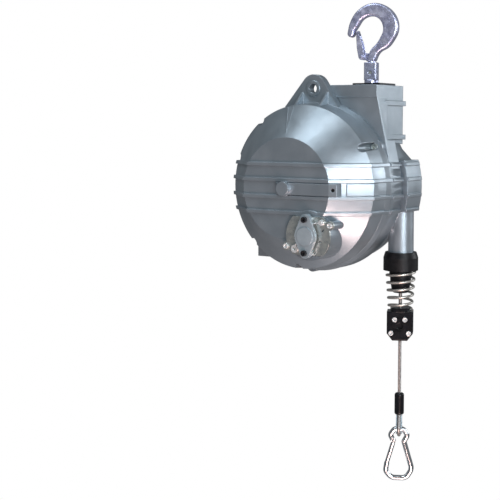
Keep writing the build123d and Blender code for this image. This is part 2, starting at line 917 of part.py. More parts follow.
def worm_screw():
    lead = pi * gear_module
    core = along_z(worm_root_radius, -worm_bearing_height, worm_bearing_height)
    core += along_z(worm_journal_radius, -worm_bearing_height - worm_bush_length - 4, -worm_bearing_height + 1)
    core += along_z(worm_journal_radius, worm_bearing_height - 1, worm_bearing_height + worm_bush_length - 1)
    half_root = lead / 4 + dedendum * tan(radians(20)) - thread_clearance
    half_tip = lead / 4 - addendum * tan(radians(20)) - thread_clearance
    path = Helix(lead, 2 * worm_thread_half_length, worm_pitch_radius, center=(0, 0, -worm_thread_half_length))
    profile = polygon(
        (worm_root_radius - 0.3, -half_root),
        (worm_tip_radius, -half_tip),
        (worm_tip_radius, half_tip),
        (worm_root_radius - 0.3, half_root),
    )
    start = Plane(origin=(0, 0, -worm_thread_half_length), x_dir=(1, 0, 0), z_dir=(0, -1, 0))
    thread = sweep(start * profile, path=path, is_frenet=True)
    worm = core + thread
    key = RegularPolygon(worm_key_flats / 2, 6, major_radius=False)
    key_bottom = -worm_bearing_height - worm_bush_length - 4
    worm -= Pos(0, 0, key_bottom) * extrude(key, amount=worm_key_depth)
    # At rest the thread crosses the plane of the wheel's gap where X is nearest the wheel
    turns = worm_thread_half_length / lead
    return Pos(worm_x, worm_y, 0) * Rot(0, 0, -360 * turns) * worm


keep("worm_screw", worm_screw())


def worm_bush(bottom, radius):
    body = along_z(radius, bottom, bottom + worm_bush_length, worm_x, worm_y)
    return body - along_z(worm_journal_radius + running_fit, -300, 300, worm_x, worm_y)


keep(
    "worm_bushes",
    Compound(
        children=[
            worm_bush(-worm_bearing_height - worm_bush_length, worm_tube_bore - press_gap),
            worm_bush(worm_bearing_height, worm_bush_radius),
        ]
    ),
)
retainer_top = -worm_bearing_height - worm_bush_length
keep(
    "worm_retainer",
    along_z(worm_tube_bore - press_gap, retainer_top - 2, retainer_top, worm_x, worm_y)
    - along_z(worm_journal_radius + 1.5, -300, 300, worm_x, worm_y),
)

# Drum lock on the front cover

lock_plate_front = lock_pad_y - lock_plate_thickness
lever_front = lock_plate_front - 0.4 - lock_lever_thickness
cap_back = lever_front - 0.4
cap_front = cap_back - cap_thickness


def lock_plate():
    body = along_y(lock_plate_radius, lock_plate_front, lock_pad_y, lock_x, lock_z)
    for a in lock_ear_angles:
        x, z = polar(lock_ear_reach, a, lock_x, lock_z)
        body += along_y(lock_ear_radius, lock_plate_front, lock_pad_y, x, z)
    for a in lock_ear_angles:
        x, z = polar(lock_ear_reach, a, lock_x, lock_z)
        body -= along_y(lock_screw_radius + 0.1, lock_plate_front - 1, lock_pad_y + 1, x, z)
    for side in (-1, 1):
        z = lock_z + side * cap_ear_spacing / 2
        body -= along_y(cap_screw_radius + 0.1, lock_plate_front - 1, lock_pad_y + 1, lock_x, z)
    for dx, dz in lock_small_holes:
        body -= along_y(lock_small_hole_radius, lock_plate_front - 1, lock_pad_y + 1, lock_x + dx, lock_z + dz)
    return body - along_y(lock_shaft_radius + running_fit, -50, 50, lock_x, lock_z)


keep("lock_plate", lock_plate())


def lock_screws():
    screws = []
    for a in lock_ear_angles:
        x, z = polar(lock_ear_reach, a, lock_x, lock_z)
        screws.append(
            socket_screw(x, z, lock_plate_front, lock_head_radius, lock_head_height, lock_screw_radius, 10)
        )
    return Compound(children=screws)


keep("lock_screws", lock_screws())


def cap_outline():
    """A round middle with two ears, joined by straight sides."""
    middle = Circle(cap_half_width)
    ears = [Pos(0, side * cap_ear_spacing / 2) * Circle(cap_ear_radius) for side in (-1, 1)]
    tilt = asin((cap_half_width - cap_ear_radius) / (cap_ear_spacing / 2))
    sides = []
    for side in (-1, 1):
        for half in (-1, 1):
            x_middle, z_middle = cap_half_width * cos(tilt), cap_half_width * sin(tilt)
            x_ear, z_ear = cap_ear_radius * cos(tilt), cap_ear_radius * sin(tilt) + cap_ear_spacing / 2
            sides.append(
                polygon(
                    (0, 0),
                    (half * x_middle, side * z_middle),
                    (half * x_ear, side * z_ear),
                    (0, side * z_ear),
                )
            )
    outline = middle
    for piece in ears + sides:
        outline += piece
    return outline


def lock_cap():
    cap = plate(Pos(lock_x, lock_z) * cap_outline(), cap_front, cap_back)
    cap += along_y(cap_dome_radius, cap_front - cap_dome_rise, cap_front, lock_x, lock_z)
    for side in (-1, 1):
        z = lock_z + side * cap_ear_spacing / 2
        cap += along_y(cap_ear_radius, cap_back, lock_plate_front, lock_x, z)
        cap -= along_y(cap_screw_radius + 0.1, cap_front - 1, lock_plate_front + 1, lock_x, z)
    return cap


keep("lock_cap", lock_cap())


def cap_screws():
    screws = []
    for side in (-1, 1):
        z = lock_z + side * cap_ear_spacing / 2
        length = lock_pad_y + 9 - cap_front
        screws.append(
            socket_screw(lock_x, z, cap_front, cap_head_radius, cap_head_height, cap_screw_radius, length)
        )
    return Compound(children=screws)


keep("cap_screws", cap_screws())


def lock_lever():
    hub = Pos(lock_x, lock_z) * Circle(lock_shaft_radius + 4)
    arm = Pos(lock_x, lock_z) * Rot(0, 0, lock_lever_angle) * Pos(lock_lever_length / 2, 0)
    outline = hub + arm * Rectangle(lock_lever_length, lock_lever_width * 0.7)
    tip = polar(lock_lever_length, lock_lever_angle, lock_x, lock_z)
    outline += Pos(*tip) * Circle(lock_lever_width / 2)
    lever = plate(outline, lever_front, lever_front + lock_lever_thickness)
    for reach in (lock_lever_length - 7, lock_lever_length):
        x, z = polar(reach, lock_lever_angle, lock_x, lock_z)
        lever -= along_y(lock_lever_hole, lever_front - 1, lock_plate_front, x, z)
    return lever - along_y(lock_shaft_radius + press_gap, -50, 50, lock_x, lock_z)


keep("lock_lever", lock_lever())
pawl_front = ratchet_front_y - 0.5
pawl_back = ratchet_back_y + 0.5
keep("lock_shaft", along_y(lock_shaft_radius, lever_front, pawl_back + 1, lock_x, lock_z))


def lock_pawl():
    hub = Pos(lock_x, lock_z) * Circle(lock_shaft_radius + 3.5)
    arm = Pos(lock_x, lock_z) * Rot(0, 0, pawl_angle)
    root, tip = pawl_width / 2 + 1, 1.5
    outline = hub + arm * polygon((0, -root), (0, root), (pawl_length, tip), (pawl_length, -tip))
    pawl = plate(outline, pawl_front, pawl_back)
    return pawl - along_y(lock_shaft_radius + press_gap, -50, 50, lock_x, lock_z)


keep("lock_pawl", lock_pawl())


def lock_spring():
    """The return spring's outer leg, with the eye that hooks over its stud."""
    y = lock_plate_front - eye_wire - seat_gap
    loop = Pos(eye_x, y, eye_z) * Rot(90, 0, 0) * Torus(eye_radius, eye_wire)
    near = (lock_x + cap_half_width * 0.5, y, lock_z + cap_half_width * 1.05)
    far = (eye_x - eye_radius, y, eye_z)
    leg = Plane(origin=near, z_dir=Vector(*far) - Vector(*near)) * Circle(eye_wire)
    reach = (Vector(*far) - Vector(*near)).length
    return loop + extrude(leg, amount=reach)


keep("lock_spring", lock_spring())
stud_radius = eye_radius - eye_wire - 0.2
keep(
    "lock_stud",
    along_y(stud_radius, lock_plate_front - 4, lock_plate_front, eye_x, eye_z)
    + along_y(stud_radius + 1.0, lock_plate_front - 4.8, lock_plate_front - 3.6, eye_x, eye_z),
)

# Hook on top, drawn about its own upright axis


def at_hook(solid):
    return Pos(hook_x, hook_y, 0) * Rot(0, 0, hook_turn) * solid


keep(
    "hook_plate",
    block(
        plate_x - plate_length / 2,
        plate_x + plate_length / 2,
        hook_y - plate_depth / 2,
        hook_y + plate_depth / 2,
        tower_top,
        tower_top + plate_thickness,
    )
    - along_z(stem_bush_radius + press_gap, 0, 300, hook_x, hook_y),
)
keep(
    "stem_bush",
    along_z(stem_bush_radius, stem_boss_bottom, tower_top + plate_thickness, hook_x, hook_y)
    - along_z(stem_radius + running_fit, 0, 300, hook_x, hook_y),
)

washer_top = stem_boss_bottom - running_fit
nut_top = washer_top - washer_height
stem_bottom = nut_top - nut_height - stem_tail


def hook_stem():
    body = block(-block_width / 2, block_width / 2, -block_width / 2, block_width / 2, block_bottom, block_top)
    body = chamfer(body.edges().filter_by(Axis.Z), 1.2)
    body += along_z(stem_radius + 2, tower_top + plate_thickness + running_fit, block_bottom)
    body += along_z(stem_radius, stem_bottom, block_bottom)
    body -= along_z(shank_radius + press_gap, block_top - 22, block_top + 1)
    body -= along_y(hook_pin_radius, -50, 50, 0, hook_pin_height)
    return at_hook(body)


keep("hook_stem", hook_stem())
keep("hook_washer", at_hook(along_z(washer_radius, nut_top, washer_top) - along_z(stem_radius + 0.2, 0, 300)))
nut_outline = RegularPolygon(nut_flats / 2, 6, major_radius=False)
keep(
    "hook_nut",
    at_hook(
        Pos(0, 0, nut_top - nut_height) * extrude(nut_outline, amount=nut_height)
        - along_z(stem_radius + press_gap, 0, 300)
    ),
)
pin_half = block_width / 2 - hook_pin_recess
keep("hook_pin", at_hook(along_y(hook_pin_radius - press_gap, -pin_half, pin_half, 0, hook_pin_height)))

# The hook's outline, from the neck up its back, over the top to the tip and back inside
back_line = (
    (9.2, 184.0),
    (29.5, 202.0),
    (39.1, 224.0),
    (28.5, 249.0),
    (4.0, 258.7),
    (-19.5, 248.8),
    (-31.0, 231.0),
)
tip_line = ((-34.2, 217.5), (-29.6, 211.4), (-24.2, 216.6))
bowl_line = (
    (-19.2, 226.5),
    (-10.5, 237.5),
    (0.0, seat_height),
    (13.5, 234.2),
    (17.6, 222.5),
    (11.5, 206.5),
    (-1.8, 189.5),
)


def smooth_arcs(points, start, end):
    """Pairs of arcs through the points that touch each other, with a given direction at both ends."""
    points = [Vector(*point) for point in points]
    directions = [start.normalized()]
    for before, here, after in zip(points, points[1:], points[2:]):
        into, out = here - before, after - here
        directions.append((into * (out.length / into.length) + out * (into.length / out.length)).normalized())
    directions.append(end.normalized())
    arcs = []
    for here, there, leave, arrive in zip(points, points[1:], directions, directions[1:]):
        chord = there - here
        along = chord.dot(leave + arrive)
        spread = 2 * (1 - leave.dot(arrive))
        reach = (sqrt(along**2 + spread * chord.dot(chord)) - along) / spread
        middle = (here + there + (leave - arrive) * reach) / 2
        arcs += [TangentArc(here, middle, tangent=leave), TangentArc(there, middle, tangent=-arrive)]
    return arcs


def suspension_hook():
    foot = block_top + 2
    neck_back = Line((neck_half_width, foot), back_line[0])
    neck_bowl = Line(bowl_line[-1], (-neck_half_width, foot))
    tip = ThreePointArc(*tip_line)
    edges = smooth_arcs((*back_line, tip_line[0]), neck_back % 1, tip % 0)
    edges += smooth_arcs((tip_line[2], *bowl_line), tip % 1, neck_bowl % 0)
    edges += [neck_back, tip, neck_bowl, Line((-neck_half_width, foot), (neck_half_width, foot))]
    body = plate(make_face(edges), -hook_thickness / 2, hook_thickness / 2)
    sides = body.edges().group_by(Axis.Y)
    body = fillet([edge for edge in sides[0] + sides[-1] if edge.center().Z > foot + 0.01], hook_edge)
    lug = along_y(latch_lug_radius, -latch_lug_width / 2, latch_lug_width / 2, latch_pivot_x, latch_pivot_z)
    root = polygon(
        (latch_pivot_x, latch_pivot_z - latch_lug_radius),
        (-2, block_top + 3),
        (0, bowl_line[-1][1] - 1),
        (latch_pivot_x, latch_pivot_z + latch_lug_radius),
    )
    body += lug + plate(root, -latch_lug_width / 2, latch_lug_width / 2)
    body += along_z(shank_radius, block_top - 21, block_top + 4)
    body -= along_y(latch_pin_radius, -50, 50, latch_pivot_x, latch_pivot_z)
    body -= along_y(hook_pin_radius, -50, 50, 0, hook_pin_height)
    return body


keep("suspension_hook", at_hook(suspension_hook()))
latch_outer = latch_width / 2
latch_inner = latch_outer - latch_sheet
keep(
    "latch_pin",
    at_hook(
        along_y(latch_pin_radius - press_gap, -latch_outer - 1.5, latch_outer + 1.5, latch_pivot_x, latch_pivot_z)
    ),
)


def hook_latch():
    """A folded sheet: two cheeks on the pin and a back that closes the hook's mouth."""
    run = sqrt((latch_tip_x - latch_pivot_x) ** 2 + (latch_tip_z - latch_pivot_z) ** 2)
    lean = degrees(atan2(latch_pivot_x - latch_tip_x, latch_tip_z - latch_pivot_z))
    cheek = polygon((-4.4, 0), (-4.4, run * 0.35), (-1.6, run - 2), (1.6, run), (4.4, run * 0.45), (4.4, 0))
    cheek += Circle(4.4)
    solid = plate(cheek, -latch_outer, latch_outer)
    back = -4.4 + latch_sheet
    room = polygon((-9, -9), (9, -9), (9, run * 1.2), (back, run * 0.55), (back, 7), (-9, 7))
    solid -= plate(room, -latch_inner, latch_inner)
    solid -= along_y(latch_pin_radius + running_fit, -50, 50)
    return Pos(latch_pivot_x, 0, latch_pivot_z) * Rot(0, -lean, 0) * solid


keep("hook_latch", at_hook(hook_latch()))

# Buffer cup and nozzle at the foot of the rope tube, on the rope's axis


def at_rope(solid, turn=0.0):
    return Pos(rope_x, rope_y, 0) * Rot(0, 0, turn) * solid


cup_socket = tube_bottom_radius + press_gap
keep(
    "buffer_cup",
    at_rope(
        turned(
            (nozzle_top_radius + press_gap, cup_bottom),
            (cup_radius, cup_bottom),
            (cup_radius, cup_top - 8),
            (cup_radius - cup_chamfer, cup_top),
            (cup_socket, cup_top),
            (cup_socket, tube_bottom),
            (tube_bore_radius + 1, tube_bottom),
            (tube_bore_radius + 1, tube_bottom - 4),
            (nozzle_top_radius + press_gap, tube_bottom - 4),
        )
    ),
)


def rope_nozzle():
    top = tube_bottom - 4
    span = cup_bottom - nozzle_bottom
    step = (nozzle_top_radius - nozzle_tip_radius) / 3
    body = turned(
        (nozzle_bore, top),
        (nozzle_top_radius, top),
        (nozzle_top_radius, cup_bottom - span * 0.3),
        (nozzle_top_radius - step, cup_bottom - span * 0.3),
        (nozzle_top_radius - step * 1.2, cup_bottom - span * 0.62),
        (nozzle_top_radius - step * 2, cup_bottom - span * 0.66),
        (nozzle_tip_radius, nozzle_bottom + 2),
        (nozzle_tip_radius - 2, nozzle_bottom),
        (nozzle_bore, nozzle_bottom),
    )
    return body


keep("rope_nozzle", at_rope(rope_nozzle()))


def buffer_spring():
    """A tapered coil that stands on the clamp's shoulder and reaches up to the cup."""
    bottom = clamp_top + seat_gap + spring_wire
    top = cup_bottom - seat_gap - spring_wire
    bottom_radius = collar_radius + spring_wire + seat_gap
    height = top - bottom
    taper = degrees(atan2(spring_top_radius - bottom_radius, height))
    path = Helix(height / spring_turns, height, bottom_radius, center=(0, 0, bottom), cone_angle=taper)
    section = Plane(origin=path @ 0, z_dir=path % 0) * Circle(spring_wire)
    return sweep(section, path=path, is_frenet=True)


keep("buffer_spring", at_rope(buffer_spring(), rope_turn))


def clamp_half(side):
    """One half of the rope clamp, side -1 in front and 1 behind."""
    w = clamp_width / 2
    outline = polygon(
        (-w, clamp_top),
        (w, clamp_top),
        (w, clamp_bottom + clamp_corner * 1.3),
        (w - clamp_corner, clamp_bottom),
        (-w + clamp_corner, clamp_bottom),
        (-w, clamp_bottom + clamp_corner * 1.3),
    )
    near, far = sorted((side * clamp_split / 2, side * clamp_depth / 2))
    half = plate(outline, near, far)
    face = half.faces().sort_by(Axis.Y)[0 if side < 0 else -1]
    half = chamfer(face.edges(), 1.5)
    collar = along_z(collar_radius, clamp_top - 1, collar_top)
    half += collar & block(-50, 50, near, far, clamp_top - 1, collar_top)
    half -= along_z(rope_radius + press_gap, clamp_bottom - 1, collar_top + 1)
    for x, z in clamp_screws:
        half -= along_y(clamp_screw_radius + 0.1, -50, 50, x, z)
    window_floor = -clamp_depth / 2 + clamp_window_depth
    half -= along_y(clamp_window_radius, -clamp_depth, window_floor, 0, clamp_window_height)
    return half


keep("clamp_front", at_rope(clamp_half(-1), rope_turn))
keep("clamp_back", at_rope(clamp_half(1), rope_turn))


def clamp_fasteners():
    screws = []
    front, back = -clamp_depth / 2, clamp_depth / 2
    for x, z in clamp_screws:
        screw = socket_screw(
            x, z, front, clamp_head_radius, clamp_head_height, clamp_screw_radius, clamp_depth + clamp_head_height
        )
        nut = hex_socket(2 * clamp_head_radius, back, back + clamp_head_height, x, z)
        screws.append(screw + nut)
    return Compound(children=screws)


keep("clamp_screws", at_rope(clamp_fasteners(), rope_turn))

# Rope: the stretch inside the balancer, the free stretch, and the eye round the thimble

keep("rope_upper", at_rope(along_z(rope_radius, clamp_bottom, 0)))
ferrule_top = sleeve_top - ferrule_inset
ferrule_bottom = sleeve_bottom + 0.6
keep("rope_lower", at_rope(along_z(rope_radius, ferrule_top, clamp_bottom)))


def rope_sleeve():
    skin = sleeve_radius - ferrule_radius - press_gap
    body = along_z(sleeve_radius, sleeve_bottom, sleeve_top)
    ends = body.edges().filter_by(GeomType.CIRCLE)
    body = fillet(ends, 3.2)
    body -= along_z(sleeve_radius - skin, sleeve_bottom - 1, ferrule_top)
    return body - along_z(rope_radius + press_gap, ferrule_top - 1, sleeve_top + 1)


keep("rope_sleeve", at_rope(rope_sleeve(), rope_turn))
keep("rope_ferrule", at_rope(along_z(ferrule_radius, ferrule_bottom, ferrule_top), rope_turn))

# The eye lies in the plane across the snap hook. Its drop is drawn in Y and Z.

drop_centre = thimble_bottom + thimble_inner + thimble_wall


def drop_path(radius, half_top):
    """A drop shape: a half circle below, with straight sides that touch it and end at the ferrule."""
    reach = ferrule_bottom - drop_centre
    lean = asin(radius / sqrt(half_top**2 + reach**2)) - atan2(half_top, reach)
    right = (radius * cos(lean), drop_centre + radius * sin(lean))
    top, low, left = (half_top, ferrule_bottom), (0.0, drop_centre - radius), (-right[0], right[1])
    return [Line(top, right), ThreePointArc(right, low, left), Line(left, (-half_top, ferrule_bottom))]


def drop_plate(radius, half_top, width):
    sides = drop_path(radius, half_top)
    outline = make_face(sides + [Line(sides[-1] @ 1, sides[0] @ 0)])
    return plate(outline, -width / 2, width / 2)


rope_seat = thimble_inner + thimble_wall + rope_radius + groove_gap


def rope_loop(radius):
    path = Plane.XZ * Wire(drop_path(rope_seat, rope_radius))
    section = Plane(origin=path @ 0, z_dir=path % 0) * Circle(radius)
    return sweep(section, path=path)


def thimble():
    outer_reach = thimble_inner + thimble_wall + rope_radius * 0.7
    body = drop_plate(outer_reach, rope_radius * 0.7, thimble_width)
    body -= drop_plate(thimble_inner, 0.4, thimble_width * 2)
    body -= rope_loop(rope_radius + groove_gap)
    return body & block(-50, 50, -50, 50, -400, ferrule_bottom - seat_gap)


across = rope_turn + 90
keep("thimble", at_rope(thimble(), across))
below_ferrule = block(-50, 50, -50, 50, -400, ferrule_bottom)
keep("rope_eye", at_rope(rope_loop(rope_radius) & below_ferrule, across))

# Snap hook, hanging from the thimble with its face along the clamp's

snap_bottom = snap_top - snap_length
wire_top = snap_top - hook_wire
wire_bottom = snap_bottom + hook_wire
waist_z = snap_top - waist_drop
eye_middle = wire_top - eye_half_width * 0.85
base_corner = wire_bottom + base_half_width * 0.55
gate_foot = (-base_half_width + 0.6, wire_bottom + base_half_width * 1.25)
gate_head = (-waist_half_width - 0.3, waist_z)


def gate_place():
    """Where the gate stands: its foot at the nose of the hook, its axis towards the hinge."""
    dx, dz = gate_head[0] - gate_foot[0], gate_head[1] - gate_foot[1]
    lean = degrees(atan2(dx, dz))
    return Pos(gate_foot[0], 0, gate_foot[1]) * Rot(0, lean, 0), sqrt(dx * dx + dz * dz)


def snap_body():
    path = FilletPolyline(
        gate_head,
        (-eye_half_width - 2.0, eye_middle),
        (-eye_half_width * 0.62, wire_top),
        (eye_half_width * 0.62, wire_top),
        (eye_half_width + 2.0, eye_middle),
        (waist_half_width, waist_z),
        (base_half_width + 1.5, base_corner + 4),
        (base_half_width * 0.62, wire_bottom),
        (-base_half_width * 0.62, wire_bottom),
        (-base_half_width - 1.2, base_corner),
        gate_foot,
        radius=[5, 6, 6, 5, 3, 13, 11, 11, 7],
    )
    path = Plane.XZ * path
    section = Plane(origin=path @ 0, z_dir=path % 0) * Circle(hook_wire)
    body = sweep(section, path=path)
    # The hinge end narrows to a tongue that the gate's fork goes round
    place, length = gate_place()
    room = place * along_z(hook_wire + 1, gate_end_gap, length + gate_knuckle + 1.5)
    body -= room - block(-50, 50, -gate_tongue, gate_tongue, -500, 0)
    body -= place * along_z(hook_wire + 1, gate_end_gap - 0.2, length - gate_knuckle)
    body += along_y(gate_knuckle, -gate_tongue, gate_tongue, *gate_head)
    return body - along_y(gate_pin_radius + press_gap, -50, 50, *gate_head)


def snap_gate():
    place, length = gate_place()
    fork = gate_tongue + 0.15
    gate = along_z(gate_wire, gate_end_gap, length + gate_knuckle)
    gate -= block(-10, 10, -fork, fork, length - gate_knuckle - 1.2, length + 10)
    gate -= along_y(gate_pin_radius + running_fit + 0.02, -50, 50, 0, length)
    return place * gate


keep("snap_hook", at_rope(snap_body(), rope_turn))
keep("snap_gate", at_rope(snap_gate(), rope_turn))
keep("gate_pin", at_rope(along_y(gate_pin_radius, -gate_wire, gate_wire, *gate_head), rope_turn))

# Written about the point where the hook bears, one file for each piece

to_origin = Pos(-hook_x, -hook_y, -seat_height)
os.makedirs("parts", exist_ok=True)
for name, solid in nodes.items():
    export_step(to_origin * solid, f"parts/{name}.step")
print(len(nodes), "pieces written")
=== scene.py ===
import json
import math
import bpy
from mathutils import Matrix, Vector


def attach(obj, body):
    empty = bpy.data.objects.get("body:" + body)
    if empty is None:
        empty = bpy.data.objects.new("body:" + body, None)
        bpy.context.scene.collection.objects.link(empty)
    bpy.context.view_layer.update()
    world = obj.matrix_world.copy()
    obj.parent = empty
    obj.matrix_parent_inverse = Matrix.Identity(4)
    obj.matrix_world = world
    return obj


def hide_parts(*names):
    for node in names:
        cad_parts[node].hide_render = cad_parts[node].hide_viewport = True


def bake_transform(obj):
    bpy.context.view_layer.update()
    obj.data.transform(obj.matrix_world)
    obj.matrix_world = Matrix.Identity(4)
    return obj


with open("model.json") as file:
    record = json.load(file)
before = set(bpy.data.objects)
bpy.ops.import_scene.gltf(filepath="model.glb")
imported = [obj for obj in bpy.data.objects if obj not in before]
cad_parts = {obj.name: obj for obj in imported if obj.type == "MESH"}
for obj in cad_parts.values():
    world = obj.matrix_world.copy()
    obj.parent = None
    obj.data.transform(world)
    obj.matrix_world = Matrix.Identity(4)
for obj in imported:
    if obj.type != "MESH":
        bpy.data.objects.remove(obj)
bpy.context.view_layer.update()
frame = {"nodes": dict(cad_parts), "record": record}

cadNodes = frame["nodes"]
bpy.ops.object.select_all(action="DESELECT")
print("frame loaded,", len(cadNodes), "nodes")


def clearSelection():
    bpy.ops.object.select_all(action="DESELECT")


# Camera, a long lens a little above the housing's middle
cameraSetup = {
    "place": (0.7666, -1.3774, -0.1527),
    "lens": 79.2,
    "turn": 31.2,
    "tilt": 4.643,
    "roll": 0.315,
    "shiftX": -0.16,
    "shiftY": -0.073,
}
bpy.ops.object.camera_add(location=cameraSetup["place"])
camera = bpy.context.object
camera.rotation_euler = (
    Matrix.Rotation(math.radians(cameraSetup["turn"]), 3, "Z")
    @ Matrix.Rotation(math.radians(90 - cameraSetup["tilt"]), 3, "X")
    @ Matrix.Rotation(math.radians(cameraSetup["roll"]), 3, "Z")
).to_euler()
camera.name = "frontCamera"
camera.data.lens = cameraSetup["lens"]
camera.data.sensor_width = 36
camera.data.shift_x = cameraSetup["shiftX"]
camera.data.shift_y = cameraSetup["shiftY"]
camera.data.clip_end = 200
bpy.context.scene.camera = camera
print("camera placed")


# Materials: each finish has its own variation of tone and gloss, and grain


def newFinish(name, colour, metallic, roughness):
    finish = bpy.data.materials.new(name)
    finish.use_nodes = True
    shader = finish.node_tree.nodes["Principled BSDF"]
    shader.inputs["Base Color"].default_value = (*colour, 1)
    shader.inputs["Metallic"].default_value = metallic
    shader.inputs["Roughness"].default_value = roughness
    return finish


def addNoise(finish, scale, detail=4.0, stretch=(1, 1, 1)):
    tree = finish.node_tree
    coordinates = tree.nodes.new("ShaderNodeTexCoord")
    mapping = tree.nodes.new("ShaderNodeMapping")
    mapping.inputs["Scale"].default_value = stretch
    noise = tree.nodes.new("ShaderNodeTexNoise")
    noise.inputs["Scale"].default_value = scale
    noise.inputs["Detail"].default_value = detail
    tree.links.new(coordinates.outputs["Object"], mapping.inputs["Vector"])
    tree.links.new(mapping.outputs["Vector"], noise.inputs["Vector"])
    return noise


def varyColour(finish, darkColour, lightColour, scale):
    tree = finish.node_tree
    noise = addNoise(finish, scale)
    ramp = tree.nodes.new("ShaderNodeValToRGB")
    ramp.color_ramp.elements[0].position = 0.35
    ramp.color_ramp.elements[0].color = (*darkColour, 1)
    ramp.color_ramp.elements[1].position = 0.65
    ramp.color_ramp.elements[1].color = (*lightColour, 1)
    tree.links.new(noise.outputs["Fac"], ramp.inputs["Fac"])
    tree.links.new(ramp.outputs["Color"], tree.nodes["Principled BSDF"].inputs["Base Color"])


def varyGloss(finish, low, high, scale, stretch=(1, 1, 1)):
    tree = finish.node_tree
    noise = addNoise(finish, scale, detail=5.0, stretch=stretch)
    span = tree.nodes.new("ShaderNodeMapRange")
    span.inputs["From Min"].default_value = 0.3
    span.inputs["From Max"].default_value = 0.7
    span.inputs["To Min"].default_value = low
    span.inputs["To Max"].default_value = high
    tree.links.new(noise.outputs["Fac"], span.inputs["Value"])
    tree.links.new(span.outputs["Result"], tree.nodes["Principled BSDF"].inputs["Roughness"])


def addGrain(finish, scale, depth, strength, edge=0.0, stretch=(1, 1, 1)):
    tree = finish.node_tree
    noise = addNoise(finish, scale, stretch=stretch)
    bump = tree.nodes.new("ShaderNodeBump")
    bump.inputs["Distance"].default_value = depth
    bump.inputs["Strength"].default_value = strength
    tree.links.new(noise.outputs["Fac"], bump.inputs["Height"])
    if edge:
        rounding = tree.nodes.new("ShaderNodeBevel")
        rounding.samples = 6
        rounding.inputs["Radius"].default_value = edge
        tree.links.new(rounding.outputs["Normal"], bump.inputs["Normal"])
    tree.links.new(bump.outputs["Normal"], tree.nodes["Principled BSDF"].inputs["Normal"])


castFinish = newFinish("castAluminium", (0.36, 0.41, 0.45), 0.75, 0.36)
varyColour(castFinish, (0.33, 0.38, 0.42), (0.39, 0.44, 0.48), 34)
varyGloss(castFinish, 0.30, 0.42, 55)
addGrain(castFinish, 900, 0.0004, 0.35, edge=0.0016)

capFinish = newFinish("capAluminium", (0.42, 0.49, 0.53), 0.5, 0.36)
varyColour(capFinish, (0.38, 0.45, 0.49), (0.46, 0.53, 0.57), 90)
varyGloss(capFinish, 0.30, 0.42, 120)
addGrain(capFinish, 1500, 0.0002, 0.3, edge=0.0008)

drumFinish = newFinish("turnedAluminium", (0.60, 0.61, 0.62), 0.9, 0.35)
varyColour(drumFinish, (0.56, 0.57, 0.58), (0.64, 0.65, 0.66), 60)
varyGloss(drumFinish, 0.28, 0.42, 300, stretch=(1, 30, 1))
addGrain(drumFinish, 400, 0.0002, 0.3, stretch=(1, 12, 1))

zincFinish = newFinish("zincPlate", (0.56, 0.58, 0.56), 0.85, 0.32)
varyColour(zincFinish, (0.50, 0.53, 0.52), (0.64, 0.66, 0.62), 130)
varyGloss(zincFinish, 0.24, 0.40, 260)
addGrain(zincFinish, 1800, 0.0001, 0.3, edge=0.0005)

hookFinish = newFinish("galvanisedForging", (0.60, 0.62, 0.80), 0.85, 0.3)
varyColour(hookFinish, (0.46, 0.48, 0.68), (0.72, 0.74, 0.92), 90)
varyGloss(hookFinish, 0.20, 0.40, 160)
addGrain(hookFinish, 500, 0.0008, 0.6, edge=0.0014)

blackSteelFinish = newFinish("blackenedSteel", (0.035, 0.036, 0.04), 0.6, 0.34)
varyColour(blackSteelFinish, (0.025, 0.026, 0.03), (0.05, 0.05, 0.055), 200)
varyGloss(blackSteelFinish, 0.28, 0.42, 300)
addGrain(blackSteelFinish, 2000, 0.0001, 0.3, edge=0.0004)

rubberFinish = newFinish("blackRubber", (0.006, 0.006, 0.007), 0.0, 0.42)
varyColour(rubberFinish, (0.004, 0.004, 0.005), (0.009, 0.009, 0.010), 150)
varyGloss(rubberFinish, 0.34, 0.50, 240)
rubberFinish.node_tree.nodes["Principled BSDF"].inputs["Specular IOR Level"].default_value = 0.3
addGrain(rubberFinish, 1400, 0.0002, 0.4, edge=0.0008)

plasticFinish = newFinish("blackPlastic", (0.005, 0.005, 0.007), 0.0, 0.2)
varyColour(plasticFinish, (0.004, 0.004, 0.005), (0.008, 0.008, 0.011), 120)
varyGloss(plasticFinish, 0.12, 0.24, 180)
plasticFinish.node_tree.nodes["Principled BSDF"].inputs["Specular IOR Level"].default_value = 0.4
addGrain(plasticFinish, 900, 0.00015, 0.25, edge=0.0009)

springFinish = newFinish("springSteel", (0.60, 0.575, 0.53), 0.85, 0.34)
varyColour(springFinish, (0.53, 0.51, 0.47), (0.67, 0.64, 0.59), 180)
varyGloss(springFinish, 0.28, 0.42, 320)
addGrain(springFinish, 2200, 0.0001, 0.3)

wireFinish = newFinish("ropeWire", (0.36, 0.34, 0.33), 0.8, 0.38)
varyColour(wireFinish, (0.20, 0.185, 0.18), (0.52, 0.50, 0.48), 900)
varyGloss(wireFinish, 0.32, 0.48, 1200)
addGrain(wireFinish, 5200, 0.0001, 0.6, stretch=(1, 1, 0.35))

chromeFinish = newFinish("chromePlate", (0.78, 0.80, 0.82), 1.0, 0.12)
varyColour(chromeFinish, (0.72, 0.74, 0.77), (0.83, 0.85, 0.86), 60)
varyGloss(chromeFinish, 0.08, 0.18, 140)
addGrain(chromeFinish, 900, 0.0001, 0.15, edge=0.0004)

bronzeFinish = newFinish("bearingBronze", (0.52, 0.37, 0.19), 0.9, 0.36)
varyColour(bronzeFinish, (0.45, 0.31, 0.15), (0.60, 0.44, 0.24), 120)
varyGloss(bronzeFinish, 0.30, 0.44, 260)
addGrain(bronzeFinish, 1500, 0.0001, 0.3)
